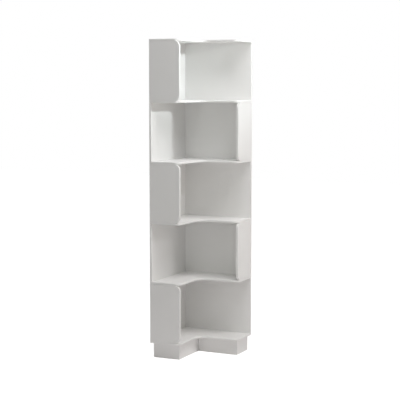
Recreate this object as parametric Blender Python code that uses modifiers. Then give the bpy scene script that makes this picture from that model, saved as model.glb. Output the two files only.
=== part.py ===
"""A tall corner bookcase: six L-shaped boards on a recessed plinth, walls on the two room-wall sides
of each tier, and one end panel per tier, which changes arm from tier to tier.

Metres, +Z up, origin on the floor under the middle of the bookcase's box. The room corner is at
-X, +Y: the rear arm runs from it along +X and the side arm along -Y. Tiers are counted from the floor.
"""

import math

import bmesh
import bpy
from mathutils import Matrix, Vector

# Overall sizes
HEIGHT = 1.900
ARM_LENGTH = 0.460
ARM_DEPTH = 0.200
TIERS = 5
BOARD_THICKNESS = 0.012
WALL_THICKNESS = 0.012
PANEL_THICKNESS = 0.015
PLINTH_HEIGHT = 0.093

# Rounded corners in plan and on the end panels, and the eased edges of every lacquered board
BOARD_CORNER_RADIUS = 0.035
INNER_CORNER_RADIUS = 0.060
PANEL_CORNER_RADIUS = 0.033
EDGE_EASE = 0.0018
ARC_STEPS = 10

# Recessed plinth: its boards, and the blocks glued into its corners
PLINTH_THICKNESS = 0.015
PLINTH_FRONT_SET_BACK = 0.034
PLINTH_SIDE_SET_BACK = 0.020
PLINTH_WALL_SET_BACK = 0.006
BLOCK_SIZE = 0.025
BLOCK_HEIGHT = 0.060

# Wooden dowels
DOWEL_DIAMETER = 0.006
DOWEL_CHAMFER = 0.001
DOWEL_REACH = 0.018
DOWEL_SIDES = 12
BLIND_SKIN = 0.003

# Steel keyhole plate in the top rear wall, where a screw in the room's wall stops the bookcase tipping
PLATE_LENGTH = 0.046
PLATE_WIDTH = 0.024
PLATE_THICKNESS = 0.002
PLATE_CORNER_RADIUS = 0.003
PLATE_ARC_STEPS = 4
PLATE_TOP_DISTANCE = 0.050
PLATE_SCREW_DISTANCE = 0.015
KEYHOLE_HEAD_RADIUS = 0.0045
KEYHOLE_SLOT_RADIUS = 0.0022
KEYHOLE_LENGTH = 0.009
KEYHOLE_ARC_STEPS = 10
KEYHOLE_POCKET_DEPTH = 0.006
KEYHOLE_POCKET_MARGIN = 0.0015
SCREW_HEAD_RADIUS = 0.003
SCREW_SHANK_RADIUS = 0.0014
SCREW_LENGTH = 0.009
SCREW_SIDES = 12

# Clearance between seated pieces, and how far a cutter runs past the face that it opens
SEAT_GAP = 0.0003
CUT_PAST = 0.001

# Mesh settings: how near two points are welded, and the angles that count as an edge
WELD_DISTANCE = 0.00001
FLAT_ANGLE = math.radians(1)
SMOOTH_ANGLE = math.radians(35)
EASED_ANGLE = math.radians(40)

# Colour, roughness and metallic value of each material
LOOKS = {
    "white_lacquer": ((0.80, 0.80, 0.79), 0.35, 0.0),
    "beech": ((0.66, 0.47, 0.29), 0.60, 0.0),
    "softwood": ((0.74, 0.60, 0.42), 0.70, 0.0),
    "zinc_plated_steel": ((0.68, 0.69, 0.70), 0.30, 1.0),
}

# Places worked out from the sizes
X_WALL = -ARM_LENGTH / 2
Y_WALL = ARM_LENGTH / 2
X_END = X_WALL + ARM_LENGTH
Y_END = Y_WALL - ARM_LENGTH
TIER_PITCH = (HEIGHT - PLINTH_HEIGHT - BOARD_THICKNESS) / TIERS
UP = Vector((0.0, 0.0, 1.0))
WINGS = ("rear", "side")


def board_top(level):
    return PLINTH_HEIGHT + BOARD_THICKNESS + level * TIER_PITCH


def board_bottom(level):
    return board_top(level) - BOARD_THICKNESS


def place(wing, along, deep, height):
    """A point by its distance along the wing from the room corner, and in from the wing's hidden face."""
    if wing == "rear":
        return Vector((X_WALL + along, Y_WALL - deep, height))
    return Vector((X_WALL + deep, Y_WALL - along, height))


def deep_direction(wing):
    return place(wing, 0.0, 1.0, 0.0) - place(wing, 0.0, 0.0, 0.0)


def closed_wing(tier):
    """The arm whose end is closed by the tier's end panel."""
    return "side" if tier % 2 == 1 else "rear"


# Scene helpers
def clear_scene():
    for item in list(bpy.data.objects):
        bpy.data.objects.remove(item, do_unlink=True)


def new_collection(name):
    collection = bpy.data.collections.new(name)
    bpy.context.scene.collection.children.link(collection)
    return collection


def material(name):
    made = bpy.data.materials.get(name)
    if made is None:
        colour, roughness, metallic = LOOKS[name]
        made = bpy.data.materials.new(name)
        made.use_nodes = True
        shader = made.node_tree.nodes["Principled BSDF"]
        shader.inputs["Base Color"].default_value = (*colour, 1.0)
        shader.inputs["Roughness"].default_value = roughness
        shader.inputs["Metallic"].default_value = metallic
    return made


def add_part(name, mesh, look, matrix):
    """One solid of the bookcase, placed by its location and rotation."""
    mesh.name = name
    mesh.materials.clear()
    mesh.materials.append(material(look))
    part = bpy.data.objects.new(name, mesh)
    part.matrix_world = matrix
    part.parent = ROOT
    PARTS.objects.link(part)
    return part


def cut(part, label, mesh, matrix):
    """Cuts a mesh out of a part, and keeps it as a hidden cutter."""
    cutter = bpy.data.objects.new(f"{label}_of_{part.name}", mesh)
    cutter.matrix_world = matrix
    cutter.hide_render = True
    cutter.display_type = "WIRE"
    CUTTERS.objects.link(cutter)
    modifier = part.modifiers.new(label, "BOOLEAN")
    modifier.operation = "DIFFERENCE"
    modifier.solver = "EXACT"
    modifier.object = cutter


def ease_edges(part):
    modifier = part.modifiers.new("eased_edges", "BEVEL")
    modifier.width = EDGE_EASE
    modifier.segments = 1
    modifier.limit_method = "ANGLE"
    modifier.angle_limit = EASED_ANGLE


def shade_round(mesh):
    mesh.shade_smooth()
    mesh.set_sharp_from_angle(angle=SMOOTH_ANGLE)


# Mesh helpers
def bmesh_to_mesh(name, bm):
    mesh = bpy.data.meshes.new(name)
    bm.to_mesh(mesh)
    bm.free()
    return mesh


def box_mesh(size):
    bm = bmesh.new()
    bmesh.ops.create_cube(bm, size=1.0, matrix=Matrix.Diagonal((*size, 1.0)))
    return bmesh_to_mesh("box", bm)


def add_box(name, corner_a, corner_b, look):
    size = [abs(b - a) for a, b in zip(corner_a, corner_b)]
    middle = (Vector(corner_a) + Vector(corner_b)) / 2
    return add_part(name, box_mesh(size), look, Matrix.Translation(middle))


def turned_mesh(profile, sides):
    """A turned shape, from a profile of (radius, height) that runs from top to bottom."""
    line = bpy.data.meshes.new("profile")
    points = [(radius, 0.0, height) for radius, height in profile]
    line.from_pydata(points, [(i, i + 1) for i in range(len(points) - 1)], [])
    holder = bpy.data.objects.new("profile", line)
    CUTTERS.objects.link(holder)
    screw = holder.modifiers.new("turn", "SCREW")
    screw.steps = sides
    screw.render_steps = sides
    screw.use_merge_vertices = True
    screw.merge_threshold = WELD_DISTANCE
    return mesh_of(holder)


def mesh_of(holder):
    """The evaluated mesh of a helper object, which is then removed."""
    bpy.context.view_layer.update()
    mesh = bpy.data.meshes.new_from_object(holder.evaluated_get(bpy.context.evaluated_depsgraph_get()))
    bpy.data.objects.remove(holder, do_unlink=True)
    return mesh


def rounded_outline(corners, steps):
    """Points of an outline with right-angled corners (x, y, radius); a radius of 0 stays sharp."""
    points = []
    for i, (x, y, radius) in enumerate(corners):
        corner = Vector((x, y))
        if radius == 0.0:
            points.append(corner)
            continue
        to_last = (Vector(corners[i - 1][:2]) - corner).normalized()
        to_next = (Vector(corners[(i + 1) % len(corners)][:2]) - corner).normalized()
        centre = corner + (to_last + to_next) * radius
        for k in range(steps + 1):
            angle = math.pi / 2 * k / steps
            points.append(centre - (to_next * math.cos(angle) + to_last * math.sin(angle)) * radius)
    return points


def arc_points(centre, radius, start, end, steps):
    angles = [start + (end - start) * k / steps for k in range(steps + 1)]
    return [Vector((centre[0] + radius * math.cos(a), centre[1] + radius * math.sin(a))) for a in angles]


def flat_mesh(outline, thickness):
    """A flat board in its own XY plane, with 0 at half its thickness."""
    curve = bpy.data.curves.new("outline", "CURVE")
    curve.dimensions = "2D"
    curve.fill_mode = "BOTH"
    curve.extrude = thickness / 2
    spline = curve.splines.new("POLY")
    spline.points.add(len(outline) - 1)
    for point, (x, y) in zip(spline.points, outline):
        point.co = (x, y, 0.0, 1.0)
    spline.use_cyclic_u = True
    holder = bpy.data.objects.new("outline", curve)
    CUTTERS.objects.link(holder)
    bm = bmesh.new()
    bm.from_mesh(mesh_of(holder))
    bmesh.ops.remove_doubles(bm, verts=bm.verts, dist=WELD_DISTANCE)
    bmesh.ops.dissolve_limit(bm, angle_limit=FLAT_ANGLE, verts=bm.verts, edges=bm.edges)
    bmesh.ops.recalc_face_normals(bm, faces=bm.faces)
    return bmesh_to_mesh("board", bm)


# Dowels: one through each board on each wing, one at the foot and one at the head of each end panel
def dowel_mesh(length):
    radius = DOWEL_DIAMETER / 2
    tip = radius - DOWEL_CHAMFER
    half = length / 2
    shoulder = half - DOWEL_CHAMFER
    profile = [(0.0, half), (tip, half), (radius, shoulder), (radius, -shoulder), (tip, -half), (0.0, -half)]
    return turned_mesh(profile, DOWEL_SIDES)


def hole_mesh(length):
    bm = bmesh.new()
    radius = DOWEL_DIAMETER / 2 + SEAT_GAP
    bmesh.ops.create_cone(
        bm, cap_ends=True, segments=DOWEL_SIDES, radius1=radius, radius2=radius, depth=length + 2 * SEAT_GAP
    )
    return bmesh_to_mesh("hole", bm)


def wall_dowel(wing, level):
    """Plan place, foot and head of the dowel that joins a board to the walls under and over it."""
    spot = place(wing, ARM_LENGTH / 2, WALL_THICKNESS / 2, 0.0)
    low = board_bottom(level) - DOWEL_REACH if level > 0 else board_bottom(level) + BLIND_SKIN
    high = board_top(level) + DOWEL_REACH if level < TIERS else board_top(level) - BLIND_SKIN
    return spot, low, high


def panel_dowels(tier):
    """Plan place, foot and head of the lower and the upper dowel of a tier's end panel."""
    straight_edge = ARM_DEPTH - PANEL_CORNER_RADIUS
    spot = place(closed_wing(tier), ARM_LENGTH - PANEL_THICKNESS / 2, straight_edge / 2, 0.0)
    bite = BOARD_THICKNESS - BLIND_SKIN
    floor, ceiling = board_top(tier - 1), board_bottom(tier)
    return (spot, floor - bite, floor + DOWEL_REACH), (spot, ceiling - DOWEL_REACH, ceiling + bite)


def dowel_matrix(dowel):
    spot, low, high = dowel
    return Matrix.Translation(spot + UP * (low + high) / 2)


def drill(part, label, dowel):
    """A dowel's hole in one of the pieces that it joins. The hole has the dowel's whole length."""
    spot, low, high = dowel
    cut(part, label, hole_mesh(high - low), dowel_matrix(dowel))


def make_dowels():
    dowels = {}
    for level in range(TIERS + 1):
        for wing in WINGS:
            dowels[f"{wing}_dowel_{level + 1}"] = wall_dowel(wing, level)
    for tier in range(1, TIERS + 1):
        lower, upper = panel_dowels(tier)
        dowels[f"panel_dowel_low_{tier}"] = lower
        dowels[f"panel_dowel_high_{tier}"] = upper
    for name, dowel in dowels.items():
        spot, low, high = dowel
        mesh = dowel_mesh(high - low)
        shade_round(mesh)
        add_part(name, mesh, "beech", dowel_matrix(dowel))


# L-shaped boards: the base, the four shelves and the top
def board_outline():
    x_inner = X_WALL + ARM_DEPTH
    y_inner = Y_WALL - ARM_DEPTH
    corners = [
        (X_WALL, Y_WALL, 0.0),
        (X_WALL, Y_END, 0.0),
        (x_inner, Y_END, BOARD_CORNER_RADIUS),
        (x_inner, y_inner, INNER_CORNER_RADIUS),
        (X_END, y_inner, BOARD_CORNER_RADIUS),
        (X_END, Y_WALL, 0.0),
    ]
    return rounded_outline(corners, ARC_STEPS)


def make_board(name, level):
    mesh = flat_mesh(board_outline(), BOARD_THICKNESS)
    shade_round(mesh)
    middle = (board_bottom(level) + board_top(level)) / 2
    board = add_part(name, mesh, "white_lacquer", Matrix.Translation(UP * middle))
    ease_edges(board)
    for wing in WINGS:
        drill(board, f"{wing}_dowel_hole", wall_dowel(wing, level))
    if level > 0:
        drill(board, "under_panel_hole", panel_dowels(level)[1])
    if level < TIERS:
        drill(board, "over_panel_hole", panel_dowels(level + 1)[0])


def make_boards():
    make_board("base_board", 0)
    for level in range(1, TIERS):
        make_board(f"shelf_board_{level}", level)
    make_board("top_board", TIERS)


# Walls: in each tier one on the rear wing and one on the side wing, butted in the room corner
def make_wall(wing, tier):
    start = 0.0 if wing == "rear" else WALL_THICKNESS + SEAT_GAP
    end = ARM_LENGTH - PANEL_THICKNESS - SEAT_GAP if wing == closed_wing(tier) else ARM_LENGTH
    corner_a = place(wing, start, 0.0, board_top(tier - 1) + SEAT_GAP)
    corner_b = place(wing, end, WALL_THICKNESS, board_bottom(tier) - SEAT_GAP)
    wall = add_box(f"{wing}_wall_{tier}", corner_a, corner_b, "white_lacquer")
    ease_edges(wall)
    drill(wall, "lower_dowel_hole", wall_dowel(wing, tier - 1))
    drill(wall, "upper_dowel_hole", wall_dowel(wing, tier))
    return wall


# End panels: each stands on its wide edge between two boards, rounded at its two free corners
def make_end_panel(tier):
    wing = closed_wing(tier)
    low = board_top(tier - 1) + SEAT_GAP
    high = board_bottom(tier) - SEAT_GAP
    half = (high - low) / 2
    corners = [
        (0.0, -half, 0.0),
        (ARM_DEPTH, -half, PANEL_CORNER_RADIUS),
        (ARM_DEPTH, half, PANEL_CORNER_RADIUS),
        (0.0, half, 0.0),
    ]
    mesh = flat_mesh(rounded_outline(corners, ARC_STEPS), PANEL_THICKNESS)
    shade_round(mesh)
    deep = deep_direction(wing)
    turn = Matrix((deep, UP, deep.cross(UP))).transposed().to_4x4()
    origin = place(wing, ARM_LENGTH - PANEL_THICKNESS / 2, 0.0, (low + high) / 2)
    panel = add_part(f"end_panel_{tier}", mesh, "white_lacquer", Matrix.Translation(origin) @ turn)
    ease_edges(panel)
    lower, upper = panel_dowels(tier)
    drill(panel, "lower_dowel_hole", lower)
    drill(panel, "upper_dowel_hole", upper)


# Plinth: six boards set back under the base board, with a block glued into each of its corners
PLINTH_LEFT = X_WALL + PLINTH_WALL_SET_BACK
PLINTH_REAR = Y_WALL - PLINTH_WALL_SET_BACK
PLINTH_RIGHT = X_END - PLINTH_SIDE_SET_BACK
PLINTH_FRONT = Y_END + PLINTH_FRONT_SET_BACK
PLINTH_INNER_X = X_WALL + ARM_DEPTH - PLINTH_SIDE_SET_BACK
PLINTH_INNER_Y = Y_WALL - ARM_DEPTH + PLINTH_FRONT_SET_BACK


def plinth_boards():
    """Two opposite plan corners of each plinth board."""
    left, right, inner_x = PLINTH_LEFT, PLINTH_RIGHT, PLINTH_INNER_X
    rear, front, inner_y = PLINTH_REAR, PLINTH_FRONT, PLINTH_INNER_Y
    wide = PLINTH_THICKNESS
    butt = PLINTH_THICKNESS + SEAT_GAP
    return {
        "plinth_rear": ((left, rear - wide), (right, rear)),
        "plinth_left": ((left, front + butt), (left + wide, rear - butt)),
        "plinth_front_left": ((left, front), (inner_x, front + wide)),
        "plinth_inner": ((inner_x - wide, front + butt), (inner_x, inner_y + wide)),
        "plinth_front_right": ((inner_x + SEAT_GAP, inner_y), (right, inner_y + wide)),
        "plinth_right": ((right - wide, inner_y + butt), (right, rear - butt)),
    }


def block_corners():
    """Low plan corner of each block: in the five outer corners and behind the inner corner's seam."""
    butt = PLINTH_THICKNESS + SEAT_GAP
    size = BLOCK_SIZE
    return {
        "plinth_block_rear_left": (PLINTH_LEFT + butt, PLINTH_REAR - butt - size),
        "plinth_block_front_left": (PLINTH_LEFT + butt, PLINTH_FRONT + butt),
        "plinth_block_front_middle": (PLINTH_INNER_X - butt - size, PLINTH_FRONT + butt),
        "plinth_block_inner": (PLINTH_INNER_X - size / 2, PLINTH_INNER_Y + butt),
        "plinth_block_front_right": (PLINTH_RIGHT - butt - size, PLINTH_INNER_Y + butt),
        "plinth_block_rear_right": (PLINTH_RIGHT - butt - size, PLINTH_REAR - butt - size),
    }


def make_plinth():
    top = PLINTH_HEIGHT - SEAT_GAP
    for name, (low, high) in plinth_boards().items():
        ease_edges(add_box(name, (*low, 0.0), (*high, top), "white_lacquer"))
    for name, (x, y) in block_corners().items():
        add_box(name, (x, y, top - BLOCK_HEIGHT), (x + BLOCK_SIZE, y + BLOCK_SIZE, top), "softwood")


# Keyhole plate let into the hidden face of the top rear wall, held by two countersunk screws
def plate_matrix():
    """The plate's own frame: X along the wall, Y up, Z out of the hidden face, 0 on that face."""
    outward = -deep_direction("rear")
    origin = place("rear", ARM_LENGTH / 2, 0.0, board_bottom(TIERS) - PLATE_TOP_DISTANCE)
    turn = Matrix((UP.cross(outward), UP, outward)).transposed().to_4x4()
    return Matrix.Translation(origin) @ turn


def screw_matrices():
    """Frames of the two screws: Z into the wall, 0 on the head's face."""
    inward = Matrix.Rotation(math.pi, 4, "X")
    steps = [Matrix.Translation((side * PLATE_SCREW_DISTANCE, 0.0, 0.0)) for side in (-1, 1)]
    return [plate_matrix() @ step @ inward for step in steps]


def screw_mesh():
    taper = SCREW_HEAD_RADIUS - SCREW_SHANK_RADIUS
    profile = [
        (0.0, SCREW_LENGTH),
        (SCREW_SHANK_RADIUS, SCREW_LENGTH - taper),
        (SCREW_SHANK_RADIUS, taper),
        (SCREW_HEAD_RADIUS, 0.0),
        (0.0, 0.0),
    ]
    return turned_mesh(profile, SCREW_SIDES)


def screw_hole_mesh():
    """The screw's shape grown by the seat gap, with its head run past the plate's face."""
    head = SCREW_HEAD_RADIUS + SEAT_GAP
    shank = SCREW_SHANK_RADIUS + SEAT_GAP
    profile = [
        (0.0, SCREW_LENGTH + SEAT_GAP),
        (shank, SCREW_LENGTH + SEAT_GAP),
        (shank, head - shank),
        (head, 0.0),
        (head, -CUT_PAST),
        (0.0, -CUT_PAST),
    ]
    return turned_mesh(profile, SCREW_SIDES)


def keyhole_outline():
    """A round hole for a screw's head with a narrow slot above it, about the plate's middle."""
    spread = math.asin(KEYHOLE_SLOT_RADIUS / KEYHOLE_HEAD_RADIUS)
    start = math.pi / 2 + spread
    low, high = (0.0, -KEYHOLE_LENGTH / 2), (0.0, KEYHOLE_LENGTH / 2)
    head = arc_points(low, KEYHOLE_HEAD_RADIUS, start, start + 2 * (math.pi - spread), KEYHOLE_ARC_STEPS)
    slot = arc_points(high, KEYHOLE_SLOT_RADIUS, 0.0, math.pi, KEYHOLE_ARC_STEPS)
    return head + slot


def plate_outline(grow, radius):
    x, y = PLATE_LENGTH / 2 + grow, PLATE_WIDTH / 2 + grow
    corners = [(-x, -y, radius), (x, -y, radius), (x, y, radius), (-x, y, radius)]
    return rounded_outline(corners, PLATE_ARC_STEPS)


def make_wall_anchor(wall):
    frame = plate_matrix()
    sunk = frame @ Matrix.Translation((0.0, 0.0, -PLATE_THICKNESS / 2))
    plate_mesh = flat_mesh(plate_outline(0.0, PLATE_CORNER_RADIUS), PLATE_THICKNESS)
    plate = add_part("wall_anchor_plate", plate_mesh, "zinc_plated_steel", sunk)
    cut(plate, "keyhole", flat_mesh(keyhole_outline(), PLATE_THICKNESS + 2 * CUT_PAST), sunk)

    rebate_depth = PLATE_THICKNESS + SEAT_GAP + CUT_PAST
    rebate = flat_mesh(plate_outline(SEAT_GAP, PLATE_CORNER_RADIUS + SEAT_GAP), rebate_depth)
    cut(wall, "plate_rebate", rebate, frame @ Matrix.Translation((0.0, 0.0, CUT_PAST - rebate_depth / 2)))

    half_width = KEYHOLE_HEAD_RADIUS + KEYHOLE_POCKET_MARGIN
    low = -KEYHOLE_LENGTH / 2 - half_width
    high = KEYHOLE_LENGTH / 2 + KEYHOLE_SLOT_RADIUS + KEYHOLE_POCKET_MARGIN
    pocket_depth = PLATE_THICKNESS + KEYHOLE_POCKET_DEPTH + CUT_PAST
    pocket = box_mesh((2 * half_width, high - low, pocket_depth))
    middle = (0.0, (low + high) / 2, CUT_PAST - pocket_depth / 2)
    cut(wall, "keyhole_pocket", pocket, frame @ Matrix.Translation(middle))

    for number, screw_frame in enumerate(screw_matrices(), start=1):
        cut(plate, f"screw_hole_{number}", screw_hole_mesh(), screw_frame)
        cut(wall, f"screw_hole_{number}", screw_hole_mesh(), screw_frame)
        mesh = screw_mesh()
        shade_round(mesh)
        add_part(f"wall_anchor_screw_{number}", mesh, "zinc_plated_steel", screw_frame)


clear_scene()
PARTS = new_collection("corner_bookcase")
CUTTERS = new_collection("cutters")
ROOT = bpy.data.objects.new("bookcase_origin", None)
PARTS.objects.link(ROOT)

make_boards()
walls = {(wing, tier): make_wall(wing, tier) for tier in range(1, TIERS + 1) for wing in WINGS}
for tier_number in range(1, TIERS + 1):
    make_end_panel(tier_number)
make_dowels()
make_plinth()
make_wall_anchor(walls["rear", TIERS])
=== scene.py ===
"""Looks of a tall white corner bookcase: satin lacquer on boards with softly rounded edges, softwood
blocks and beech dowels inside, and the steel keyhole plate behind, on a white floor in soft light.

Metres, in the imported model's frame: +Z up, the room's corner at -X, +Y, the open side facing +X, -Y.
"""

import math

import bmesh
import bpy
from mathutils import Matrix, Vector


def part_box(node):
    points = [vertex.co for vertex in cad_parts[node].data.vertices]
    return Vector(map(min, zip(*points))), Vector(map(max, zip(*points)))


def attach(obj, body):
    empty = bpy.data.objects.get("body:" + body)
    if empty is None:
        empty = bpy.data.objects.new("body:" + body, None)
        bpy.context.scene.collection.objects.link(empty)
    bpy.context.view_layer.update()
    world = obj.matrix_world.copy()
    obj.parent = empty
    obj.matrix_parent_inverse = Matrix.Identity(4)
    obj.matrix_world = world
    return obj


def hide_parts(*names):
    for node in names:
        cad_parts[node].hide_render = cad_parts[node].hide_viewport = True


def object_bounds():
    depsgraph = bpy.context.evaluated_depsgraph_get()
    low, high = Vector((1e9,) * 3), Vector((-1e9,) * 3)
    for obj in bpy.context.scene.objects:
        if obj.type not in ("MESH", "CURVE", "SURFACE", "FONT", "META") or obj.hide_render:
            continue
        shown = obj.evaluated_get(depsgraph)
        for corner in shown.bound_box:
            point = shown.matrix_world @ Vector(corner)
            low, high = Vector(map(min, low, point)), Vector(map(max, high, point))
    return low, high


TIERS = 5
WINGS = ("rear", "side")
ANCHOR_WALL = "rear_wall_5"
PLINTH_SIDES = ("rear", "left", "front_left", "inner", "front_right", "right")

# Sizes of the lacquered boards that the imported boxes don't give
ARM_DEPTH = 0.200
BOARD_CORNER_RADIUS = 0.035
INNER_CORNER_RADIUS = 0.060
PANEL_CORNER_RADIUS = 0.033
ARC_STEPS = 24

# Rounding of sharp edges. A wall's edges are rounded only where they lie this near the bookcase's outside.
EASE_WIDTH = 0.0018
EASE_STEPS = 4
EASE_ANGLE = math.radians(40)
OUTSIDE_TOLERANCE = 0.0001

# Keyhole plate and its screws
PLATE_CORNER_RADIUS = 0.003
PLATE_EASE = 0.0003
KEYHOLE_HEAD_RADIUS = 0.0045
KEYHOLE_SLOT_RADIUS = 0.0022
KEYHOLE_LENGTH = 0.009
POCKET_DEPTH = 0.006
POCKET_MARGIN = 0.0015
SCREW_HEAD_RADIUS = 0.003
SCREW_SHANK_RADIUS = 0.0014
SCREW_SIDES = 40
SCREW_EASE = 0.0001
RECESS_LENGTH = 0.0034
RECESS_WIDTH = 0.0009
RECESS_DEPTH = 0.0013
RECESS_TURNS = (math.radians(45), math.radians(135))
SEAT_GAP = 0.0003
CUT_PAST = 0.001

# Most values of a noise texture lie between these
NOISE_LOW = 0.3
NOISE_HIGH = 0.7

# Light that surfaces get from the white room, and that the camera and reflections see of it
ROOM_LIGHT = 0.033
ROOM_SEEN = 1.0

# The floor adds a glow, for the camera and reflections alone, that keeps it white away from the lamps.
# It is weaker near the object, where it leaves room for the object's shadow, and grows from the start
# distance to the end distance.
FLOOR_SIZE = 24.0
FLOOR_CELLS = 8
GLOW_NEAR = 0.72
GLOW_FAR = 1.0
GLOW_START = 1.0
GLOW_END = 4.0

# Large round lamps, all aimed at one point: place, width, spread, power and colour. The last two light
# the faces that turn to the room's walls.
LAMP_TARGET = (0.0, 0.0, 0.95)
ALL_ROUND = math.radians(180)
SOFT_LAMPS = {
    "high_light": ((1.329, -0.910, 3.910), 2.22, ALL_ROUND, 57.3, (1.0, 0.992, 0.993)),
    "top_light": ((1.043, -0.075, 3.550), 3.00, ALL_ROUND, 17.0, (1.0, 0.942, 0.983)),
    "front_light": ((0.300, -2.299, 1.450), 3.00, ALL_ROUND, 12.7, (0.989, 1.0, 0.940)),
    "side_light": ((1.275, 0.075, 1.000), 1.26, ALL_ROUND, 3.93, (1.0, 0.949, 0.860)),
    "left_light": ((-2.600, 0.900, 1.000), 1.80, math.radians(90), 8.0, (1.0, 1.0, 1.0)),
    "rear_light": ((-0.900, 2.600, 1.000), 1.80, math.radians(90), 8.0, (1.0, 1.0, 1.0)),
}

# A small window of light at the right, in two shares: spread, power and colour. The narrow share draws
# the crisp shadows of the shelves in the upper tiers, and the wide share reaches all tiers.
KEY_PLACE = (2.350, -0.040, 2.210)
KEY_DIRECTION = (-1.0, 0.0, 0.0)
KEY_WIDTH = 0.25
KEY_HEIGHT = 0.11
KEY_LAMPS = {
    "narrow_key": (math.radians(55), 3.40, (0.909, 1.0, 0.995)),
    "wide_key": (ALL_ROUND, 8.48, (0.989, 0.976, 1.0)),
}

CAMERA_PLACE = (2.987, -6.124, 1.630)
CAMERA_TURN = math.radians(26.07)
CAMERA_PITCH = math.radians(5.75)
CAMERA_LENS = 102.38
SENSOR_WIDTH = 36.0

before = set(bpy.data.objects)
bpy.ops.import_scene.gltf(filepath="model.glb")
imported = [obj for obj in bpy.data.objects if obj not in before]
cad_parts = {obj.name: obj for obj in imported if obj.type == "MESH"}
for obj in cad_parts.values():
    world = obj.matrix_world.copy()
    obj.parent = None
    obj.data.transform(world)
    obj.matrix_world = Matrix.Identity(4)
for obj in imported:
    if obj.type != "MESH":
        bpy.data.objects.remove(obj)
cad_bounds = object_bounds()


# Materials
def new_material(name):
    made = bpy.data.materials.new(name)
    made.use_nodes = True
    tree = made.node_tree
    return made, tree, tree.nodes["Principled BSDF"]


def add_node(tree, kind, **settings):
    node = tree.nodes.new(kind)
    for name, value in settings.items():
        setattr(node, name, value)
    return node


def object_space(tree, scale=(1.0, 1.0, 1.0)):
    """Object coordinates in metres, stretched by scale."""
    place = add_node(tree, "ShaderNodeTexCoord")
    stretch = add_node(tree, "ShaderNodeMapping")
    stretch.inputs["Scale"].default_value = scale
    tree.links.new(place.outputs["Object"], stretch.inputs["Vector"])
    return stretch.outputs["Vector"]


def noise(tree, vector, scale, detail, roughness=0.5):
    node = add_node(tree, "ShaderNodeTexNoise")
    node.inputs["Scale"].default_value = scale
    node.inputs["Detail"].default_value = detail
    node.inputs["Roughness"].default_value = roughness
    tree.links.new(vector, node.inputs["Vector"])
    return node.outputs["Fac"]


def ramp(tree, value, stops):
    """A colour ramp from (position, colour) stops."""
    node = add_node(tree, "ShaderNodeValToRGB")
    elements = node.color_ramp.elements
    while len(elements) < len(stops):
        elements.new(position=0.5)
    for element, (position, colour) in zip(elements, stops):
        element.position = position
        element.color = (*colour, 1.0)
    tree.links.new(value, node.inputs["Fac"])
    return node.outputs["Color"]


def from_to(tree, value, start, end, low, high):
    """Maps start..end of a value to low..high, and holds it outside."""
    node = add_node(tree, "ShaderNodeMapRange")
    node.inputs["From Min"].default_value = start
    node.inputs["From Max"].default_value = end
    node.inputs["To Min"].default_value = low
    node.inputs["To Max"].default_value = high
    tree.links.new(value, node.inputs["Value"])
    return node.outputs["Result"]


def spread(tree, value, low, high):
    """Maps a noise value's usual range to low..high."""
    return from_to(tree, value, NOISE_LOW, NOISE_HIGH, low, high)


def bump(tree, height, distance, under=None):
    """A normal for a height, laid over the normal under it if there is one."""
    node = add_node(tree, "ShaderNodeBump")
    node.inputs["Distance"].default_value = distance
    tree.links.new(height, node.inputs["Height"])
    if under is not None:
        tree.links.new(under, node.inputs["Normal"])
    return node.outputs["Normal"]


def white_lacquer():
    """Sprayed satin lacquer: a faint orange peel, and slight changes of tone and sheen over each board."""
    made, tree, shader = new_material("white_lacquer")
    space = object_space(tree)
    tone = ramp(
        tree,
        noise(tree, space, scale=3.0, detail=3.0),
        [(0.30, (0.840, 0.838, 0.826)), (0.55, (0.853, 0.851, 0.842)), (0.75, (0.862, 0.861, 0.855))],
    )
    tree.links.new(tone, shader.inputs["Base Color"])
    sheen = spread(tree, noise(tree, space, scale=9.0, detail=4.0), low=0.46, high=0.56)
    tree.links.new(sheen, shader.inputs["Roughness"])
    waves = bump(tree, noise(tree, space, scale=110.0, detail=1.0), distance=0.00006)
    peel = bump(tree, noise(tree, space, scale=420.0, detail=2.0), distance=0.00003, under=waves)
    tree.links.new(peel, shader.inputs["Normal"])
    shader.inputs["IOR"].default_value = 1.45
    return made


def wood(name, scale, colours, roughness, depth):
    """Sawn or turned wood. The grain runs along the axis on which scale is least."""
    made, tree, shader = new_material(name)
    space = object_space(tree, scale)
    grain = noise(tree, space, scale=1.0, detail=6.0, roughness=0.62)
    fibres = noise(tree, space, scale=6.0, detail=3.0, roughness=0.6)
    tone = ramp(tree, grain, [(0.30, colours[0]), (0.52, colours[1]), (0.72, colours[2])])
    tree.links.new(tone, shader.inputs["Base Color"])
    tree.links.new(spread(tree, fibres, *roughness), shader.inputs["Roughness"])
    tree.links.new(bump(tree, fibres, depth), shader.inputs["Normal"])
    return made


def zinc():
    """Bright zinc plating on steel: fine rolling lines, and a faint yellow and blue cast."""
    made, tree, shader = new_material("zinc_plated_steel")
    rolled = object_space(tree, (160.0, 900.0, 900.0))
    brushed = noise(tree, rolled, scale=1.0, detail=3.0, roughness=0.6)
    cast = ramp(
        tree,
        noise(tree, object_space(tree), scale=60.0, detail=3.0),
        [(0.30, (0.42, 0.44, 0.48)), (0.52, (0.49, 0.50, 0.51)), (0.72, (0.53, 0.515, 0.47))],
    )
    tree.links.new(cast, shader.inputs["Base Color"])
    tree.links.new(spread(tree, brushed, low=0.34, high=0.52), shader.inputs["Roughness"])
    tree.links.new(bump(tree, brushed, distance=0.00002), shader.inputs["Normal"])
    shader.inputs["Metallic"].default_value = 1.0
    return made


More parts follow.
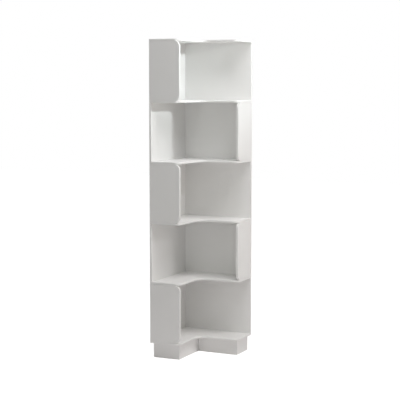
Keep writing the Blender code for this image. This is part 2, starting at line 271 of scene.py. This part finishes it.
def fibreboard():
    """The brown core of the boards, which shows where the pocket behind the keyhole is cut."""
    made, tree, shader = new_material("fibreboard_core")
    fibres = noise(tree, object_space(tree), scale=2600.0, detail=4.0, roughness=0.6)
    tone = ramp(
        tree,
        fibres,
        [(0.30, (0.33, 0.22, 0.13)), (0.52, (0.43, 0.31, 0.20)), (0.72, (0.53, 0.40, 0.27))],
    )
    tree.links.new(tone, shader.inputs["Base Color"])
    tree.links.new(spread(tree, fibres, low=0.78, high=0.92), shader.inputs["Roughness"])
    tree.links.new(bump(tree, fibres, distance=0.0001), shader.inputs["Normal"])
    return made


LACQUER = white_lacquer()
FIBREBOARD = fibreboard()
SOFTWOOD = wood(
    "softwood",
    scale=(140.0, 140.0, 9.0),
    colours=[(0.62, 0.43, 0.24), (0.74, 0.57, 0.36), (0.81, 0.66, 0.45)],
    roughness=(0.55, 0.72),
    depth=0.0002,
)
BEECH = wood(
    "beech",
    scale=(420.0, 420.0, 40.0),
    colours=[(0.55, 0.35, 0.20), (0.66, 0.46, 0.29), (0.73, 0.54, 0.36)],
    roughness=(0.45, 0.60),
    depth=0.0001,
)
ZINC = zinc()


# Meshes
def closed_mesh(rings):
    """A closed mesh over rings of points, all of one length except ends that are a single point."""
    bm = bmesh.new()
    rings = [[bm.verts.new(point) for point in ring] for ring in rings]
    for end in (rings[0], rings[-1]):
        if len(end) > 1:
            bm.faces.new(end)
    count = max(len(ring) for ring in rings)
    for one, two in zip(rings, rings[1:]):
        for k in range(count):
            n = (k + 1) % count
            corners = [one[k % len(one)], one[n % len(one)], two[n % len(two)], two[k % len(two)]]
            bm.faces.new(list(dict.fromkeys(corners)))
    bmesh.ops.recalc_face_normals(bm, faces=bm.faces)
    mesh = bpy.data.meshes.new("closed")
    bm.to_mesh(mesh)
    bm.free()
    return mesh


def rounded_outline(corners):
    """Points of an outline with right-angled corners (x, y, radius); a radius of 0 stays sharp."""
    points = []
    for i, (x, y, radius) in enumerate(corners):
        corner = Vector((x, y))
        if radius == 0.0:
            points.append(corner)
            continue
        to_last = (Vector(corners[i - 1][:2]) - corner).normalized()
        to_next = (Vector(corners[(i + 1) % len(corners)][:2]) - corner).normalized()
        centre = corner + (to_last + to_next) * radius
        for k in range(ARC_STEPS + 1):
            angle = math.pi / 2 * k / ARC_STEPS
            points.append(centre - (to_next * math.cos(angle) + to_last * math.sin(angle)) * radius)
    return points


def slab_mesh(outline, low, high, lift):
    """A slab from its outline and its two faces' places; lift turns (u, v, depth) into a point."""
    mesh = closed_mesh([[lift(u, v, depth) for u, v in outline] for depth in (low, high)])
    mesh.shade_smooth()
    return mesh


def keep_joints_tight(mesh):
    """Leaves a wall's edges sharp where they lie against other boards, away from the bookcase's outside."""
    weights = mesh.attributes.new("bevel_weight_edge", "FLOAT", "EDGE")
    for edge in mesh.edges:
        ends = [mesh.vertices[k].co for k in edge.vertices]
        outside = any(
            all(abs(end[axis] - corner[axis]) < OUTSIDE_TOLERANCE for end in ends)
            for corner in cad_bounds
            for axis in (0, 1)
        )
        weights.data[edge.index].value = outside
        edge.use_edge_sharp = not outside


def ease_edges(piece, width):
    """Softly rounds all sharp edges or, where a mesh gives its edges weights, those that have one."""
    ease = piece.modifiers.new("eased_edges", "BEVEL")
    ease.width = width
    ease.segments = EASE_STEPS
    ease.limit_method = "WEIGHT" if "bevel_weight_edge" in piece.data.attributes else "ANGLE"
    ease.angle_limit = EASE_ANGLE
    return ease


def lacquered(node, mesh):
    """Adds a lacquered piece with eased edges that stands for a CAD node."""
    piece = bpy.data.objects.new(f"{node}_lacquered", mesh)
    bpy.context.scene.collection.objects.link(piece)
    mesh.materials.append(LACQUER)
    ease_edges(piece, EASE_WIDTH).harden_normals = True
    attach(piece, "root")
    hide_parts(node)


def board_outline(low, high):
    """The L of a board between two corners of its box, with rounded free corners."""
    x_inner = low.x + ARM_DEPTH
    y_inner = high.y - ARM_DEPTH
    return rounded_outline([
        (low.x, high.y, 0.0),
        (low.x, low.y, 0.0),
        (x_inner, low.y, BOARD_CORNER_RADIUS),
        (x_inner, y_inner, INNER_CORNER_RADIUS),
        (high.x, y_inner, BOARD_CORNER_RADIUS),
        (high.x, high.y, 0.0),
    ])


def board_mesh(node):
    low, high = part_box(node)
    return slab_mesh(board_outline(low, high), low.z, high.z, lambda u, v, depth: (u, v, depth))


def upright_mesh(node, radius=0.0):
    """A wall, plinth board or end panel. The radius rounds an end panel's free upper and lower corner."""
    low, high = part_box(node)
    side_wing = high.y - low.y < high.x - low.x
    if side_wing:
        near, far, faces = low.x, high.x, (low.y, high.y)
    else:
        near, far, faces = high.y, low.y, (low.x, high.x)
    outline = rounded_outline([
        (near, low.z, 0.0),
        (far, low.z, radius),
        (far, high.z, radius),
        (near, high.z, 0.0),
    ])
    if side_wing:
        return slab_mesh(outline, *faces, lambda u, v, depth: (u, depth, v))
    return slab_mesh(outline, *faces, lambda u, v, depth: (depth, u, v))


def wall_mesh(node):
    """A wall with tight joints."""
    mesh = upright_mesh(node)
    keep_joints_tight(mesh)
    return mesh


for board_name in ["base_board", *(f"shelf_board_{i}" for i in range(1, TIERS)), "top_board"]:
    lacquered(board_name, board_mesh(board_name))
for tier in range(1, TIERS + 1):
    panel_name = f"end_panel_{tier}"
    lacquered(panel_name, upright_mesh(panel_name, PANEL_CORNER_RADIUS))
    for wing in WINGS:
        wall_name = f"{wing}_wall_{tier}"
        if wall_name != ANCHOR_WALL:
            lacquered(wall_name, wall_mesh(wall_name))
for plinth_side in PLINTH_SIDES:
    plinth_name = f"plinth_{plinth_side}"
    lacquered(plinth_name, upright_mesh(plinth_name))


# The keyhole plate in the hidden face of the top rear wall, its screws, and the wall that they are let into
PLATE_LOW, PLATE_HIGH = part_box("wall_anchor_plate")
PLATE_MIDDLE = (PLATE_LOW + PLATE_HIGH) / 2
PLATE_HALF_LENGTH = (PLATE_HIGH.x - PLATE_LOW.x) / 2
PLATE_HALF_WIDTH = (PLATE_HIGH.z - PLATE_LOW.z) / 2
PAST_PLATE = PLATE_HIGH.y + CUT_PAST
SCREW_BOXES = {f"wall_anchor_screw_{i}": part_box(f"wall_anchor_screw_{i}") for i in (1, 2)}


def arc(centre, radius, start, end):
    """Points of an arc between two angles, both ends included."""
    angles = [start + (end - start) * k / ARC_STEPS for k in range(ARC_STEPS + 1)]
    return [(centre[0] + radius * math.cos(a), centre[1] + radius * math.sin(a)) for a in angles]


def keyhole_outline():
    """A round head below, and a narrow slot above it that the hook slides into."""
    half_opening = math.asin(KEYHOLE_SLOT_RADIUS / KEYHOLE_HEAD_RADIUS)
    start = math.pi / 2 + half_opening
    end = start + 2 * (math.pi - half_opening)
    head = arc((0.0, -KEYHOLE_LENGTH / 2), KEYHOLE_HEAD_RADIUS, start, end)
    return head + arc((0.0, KEYHOLE_LENGTH / 2), KEYHOLE_SLOT_RADIUS, 0.0, math.pi)


def plate_outline(half_length, half_width, radius):
    return rounded_outline([
        (-half_length, -half_width, radius),
        (half_length, -half_width, radius),
        (half_length, half_width, radius),
        (-half_length, half_width, radius),
    ])


def behind(z, y_from, y_to, outline, finish):
    """A slab about the plate's middle at height z, between two depths. Its outline is drawn as (x, z)."""
    mesh = slab_mesh(outline, y_from, y_to, lambda u, v, depth: (PLATE_MIDDLE.x + u, depth, z + v))
    mesh.materials.append(finish)
    return mesh


def turned_mesh(low, high, profile):
    """A turned shape along Y through a box's middle, from (radius, y) points whose ends lie on the axis."""
    x, z = (low.x + high.x) / 2, (low.z + high.z) / 2
    rings = []
    for radius, y in profile:
        count = 1 if radius == 0.0 else SCREW_SIDES
        steps = [2 * math.pi * k / SCREW_SIDES for k in range(count)]
        rings.append([(x + radius * math.cos(a), y, z + radius * math.sin(a)) for a in steps])
    mesh = closed_mesh(rings)
    mesh.materials.append(ZINC)
    return mesh


def recess_mesh(low, high, turn):
    """One bar of the cross recess in a screw's head, which narrows to its bottom."""
    along = Vector((math.cos(turn), 0.0, math.sin(turn)))
    across = Vector((-math.sin(turn), 0.0, math.cos(turn))) * RECESS_WIDTH / 2
    rings = []
    for depth, length in ((-CUT_PAST, RECESS_LENGTH), (RECESS_DEPTH, RECESS_WIDTH)):
        middle = Vector(((low.x + high.x) / 2, high.y - depth, (low.z + high.z) / 2))
        half = along * length / 2
        one, two = middle + half, middle - half
        rings.append([one + across, two + across, two - across, one - across])
    mesh = closed_mesh(rings)
    mesh.materials.append(ZINC)
    return mesh


def carved(mesh, width, cutters):
    """The mesh with its edges eased by a width and the cutters' shapes cut out of it."""
    piece = bpy.data.objects.new("carved", mesh)
    helpers = [piece] + [bpy.data.objects.new("cutter", cutter) for cutter in cutters]
    for helper in helpers:
        bpy.context.scene.collection.objects.link(helper)
    ease_edges(piece, width)
    for helper in helpers[1:]:
        cut = piece.modifiers.new("cut", "BOOLEAN")
        cut.operation = "DIFFERENCE"
        cut.solver = "EXACT"
        cut.material_mode = "TRANSFER"
        cut.object = helper
    piece.modifiers.new("even_faces", "WEIGHTED_NORMAL").keep_sharp = True
    mesh.shade_smooth()
    mesh.set_sharp_from_angle(angle=EASE_ANGLE)
    bpy.context.view_layer.update()
    made = bpy.data.meshes.new_from_object(piece.evaluated_get(bpy.context.evaluated_depsgraph_get()))
    for helper in helpers:
        bpy.data.objects.remove(helper, do_unlink=True)
    return made


def stand_for(name, node, mesh):
    """Adds a finished piece that stands for a CAD node."""
    piece = bpy.data.objects.new(name, mesh)
    bpy.context.scene.collection.objects.link(piece)
    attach(piece, "root")
    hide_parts(node)


def make_plate():
    """The plate with its keyhole, and with a countersink for each screw."""
    under_plate = PLATE_LOW.y - CUT_PAST
    head = SCREW_HEAD_RADIUS + SEAT_GAP
    shank = SCREW_SHANK_RADIUS + SEAT_GAP
    sink_profile = [
        (0.0, PAST_PLATE),
        (head, PAST_PLATE),
        (head, PLATE_HIGH.y),
        (shank, PLATE_HIGH.y - head + shank),
        (shank, under_plate),
        (0.0, under_plate),
    ]
    sinks = [turned_mesh(low, high, sink_profile) for low, high in SCREW_BOXES.values()]
    keyhole = behind(PLATE_MIDDLE.z, under_plate, PAST_PLATE, keyhole_outline(), ZINC)
    outline = plate_outline(PLATE_HALF_LENGTH, PLATE_HALF_WIDTH, PLATE_CORNER_RADIUS)
    plate = behind(PLATE_MIDDLE.z, PLATE_LOW.y, PLATE_HIGH.y, outline, ZINC)
    plate = carved(plate, PLATE_EASE, [keyhole, *sinks])
    stand_for("keyhole_plate", "wall_anchor_plate", plate)


def make_anchor_wall():
    """The top rear wall with the plate's rebate, and with the pocket behind the keyhole."""
    rebate_outline = plate_outline(
        PLATE_HALF_LENGTH + SEAT_GAP,
        PLATE_HALF_WIDTH + SEAT_GAP,
        PLATE_CORNER_RADIUS + SEAT_GAP,
    )
    rebate = behind(PLATE_MIDDLE.z, PLATE_LOW.y - SEAT_GAP, PAST_PLATE, rebate_outline, FIBREBOARD)
    pocket_outline = plate_outline(
        KEYHOLE_HEAD_RADIUS + POCKET_MARGIN,
        (KEYHOLE_LENGTH + KEYHOLE_HEAD_RADIUS + KEYHOLE_SLOT_RADIUS) / 2 + POCKET_MARGIN,
        POCKET_MARGIN,
    )
    pocket_z = PLATE_MIDDLE.z - (KEYHOLE_HEAD_RADIUS - KEYHOLE_SLOT_RADIUS) / 2
    pocket = behind(pocket_z, PLATE_LOW.y - POCKET_DEPTH, PAST_PLATE, pocket_outline, FIBREBOARD)
    wall = wall_mesh(ANCHOR_WALL)
    wall.materials.append(LACQUER)
    wall = carved(wall, EASE_WIDTH, [rebate, pocket])
    stand_for(f"{ANCHOR_WALL}_lacquered", ANCHOR_WALL, wall)


def make_screw(name, low, high):
    """A countersunk screw with a cross recess in its head."""
    taper = SCREW_HEAD_RADIUS - SCREW_SHANK_RADIUS
    profile = [
        (0.0, high.y),
        (SCREW_HEAD_RADIUS, high.y),
        (SCREW_SHANK_RADIUS, high.y - taper),
        (SCREW_SHANK_RADIUS, low.y + taper),
        (0.0, low.y),
    ]
    screw = turned_mesh(low, high, profile)
    screw = carved(screw, SCREW_EASE, [recess_mesh(low, high, turn) for turn in RECESS_TURNS])
    stand_for(f"{name}_cross_head", name, screw)


make_plate()
make_anchor_wall()
for screw_name, screw_box in SCREW_BOXES.items():
    make_screw(screw_name, *screw_box)


# CAD nodes that stay, with a finish of their own
for node_name, node_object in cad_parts.items():
    if "dowel" in node_name or "block" in node_name:
        node_object.data.materials.clear()
        node_object.data.materials.append(BEECH if "dowel" in node_name else SOFTWOOD)


# Floor, light and camera
def seen_directly(tree):
    """1 for what the camera, mirrors and glass see, and 0 for the light that surfaces get."""
    path = add_node(tree, "ShaderNodeLightPath")
    seen = path.outputs["Is Camera Ray"]
    for kind in ("Is Glossy Ray", "Is Transmission Ray"):
        either = add_node(tree, "ShaderNodeMath", operation="MAXIMUM")
        tree.links.new(seen, either.inputs[0])
        tree.links.new(path.outputs[kind], either.inputs[1])
        seen = either.outputs["Value"]
    return seen


def white_floor():
    """Matt white paint, with the glow added."""
    made, tree, shader = new_material("white_floor")
    tone = ramp(
        tree,
        noise(tree, object_space(tree), scale=2.0, detail=3.0),
        [(0.3, (0.930, 0.905, 0.912)), (0.7, (0.940, 0.915, 0.922))],
    )
    tree.links.new(tone, shader.inputs["Base Color"])
    shader.inputs["Roughness"].default_value = 0.9
    shader.inputs["Specular IOR Level"].default_value = 0.0
    shader.inputs["Emission Color"].default_value = (1.0, 1.0, 1.0, 1.0)
    away = add_node(tree, "ShaderNodeVectorMath", operation="LENGTH")
    tree.links.new(object_space(tree), away.inputs[0])
    strength = from_to(tree, away.outputs["Value"], GLOW_START, GLOW_END, GLOW_NEAR, GLOW_FAR)
    glow = add_node(tree, "ShaderNodeMath", operation="MULTIPLY")
    tree.links.new(strength, glow.inputs[0])
    tree.links.new(seen_directly(tree), glow.inputs[1])
    tree.links.new(glow.outputs["Value"], shader.inputs["Emission Strength"])
    return made


def make_floor():
    bm = bmesh.new()
    bmesh.ops.create_grid(bm, x_segments=FLOOR_CELLS, y_segments=FLOOR_CELLS, size=FLOOR_SIZE / 2)
    mesh = bpy.data.meshes.new("floor")
    bm.to_mesh(mesh)
    bm.free()
    floor = bpy.data.objects.new("floor", mesh)
    bpy.context.scene.collection.objects.link(floor)
    mesh.materials.append(white_floor())


def make_room():
    """White surroundings that look bright and give surfaces only a little light."""
    world = bpy.data.worlds.new("white_room")
    world.use_nodes = True
    tree = world.node_tree
    sky = tree.nodes["Background"]
    sky.inputs["Color"].default_value = (1.0, 1.0, 1.0, 1.0)
    strength = from_to(tree, seen_directly(tree), 0.0, 1.0, ROOM_LIGHT, ROOM_SEEN)
    tree.links.new(strength, sky.inputs["Strength"])
    bpy.context.scene.world = world


def hang(lamp, place, aim):
    """Hangs a lamp that shines along aim and that the camera doesn't see itself."""
    holder = bpy.data.objects.new(lamp.name, lamp)
    holder.location = place
    holder.rotation_euler = aim.to_track_quat("-Z", "Y").to_euler()
    holder.visible_camera = False
    bpy.context.scene.collection.objects.link(holder)


def make_soft_lamp(name, place, width, spread_angle, power, colour):
    lamp = bpy.data.lights.new(name, "AREA")
    lamp.shape = "DISK"
    lamp.size = width
    lamp.spread = spread_angle
    lamp.energy = power
    lamp.color = colour
    hang(lamp, place, Vector(LAMP_TARGET) - Vector(place))


def make_key_lamp(name, spread_angle, power, colour):
    lamp = bpy.data.lights.new(name, "AREA")
    lamp.shape = "RECTANGLE"
    lamp.size = KEY_WIDTH
    lamp.size_y = KEY_HEIGHT
    lamp.spread = spread_angle
    lamp.energy = power
    lamp.color = colour
    hang(lamp, KEY_PLACE, Vector(KEY_DIRECTION))


def make_camera():
    camera = bpy.data.cameras.new("camera")
    camera.sensor_width = SENSOR_WIDTH
    camera.lens = CAMERA_LENS
    holder = bpy.data.objects.new("camera", camera)
    holder.location = CAMERA_PLACE
    holder.rotation_euler = (math.pi / 2 - CAMERA_PITCH, 0.0, CAMERA_TURN)
    bpy.context.scene.collection.objects.link(holder)
    bpy.context.scene.camera = holder


make_floor()
make_room()
for lamp_name, lamp_settings in SOFT_LAMPS.items():
    make_soft_lamp(lamp_name, *lamp_settings)
for lamp_name, lamp_settings in KEY_LAMPS.items():
    make_key_lamp(lamp_name, *lamp_settings)
make_camera()
bpy.context.scene.view_settings.view_transform = "Standard"

bpy.context.view_layer.update()
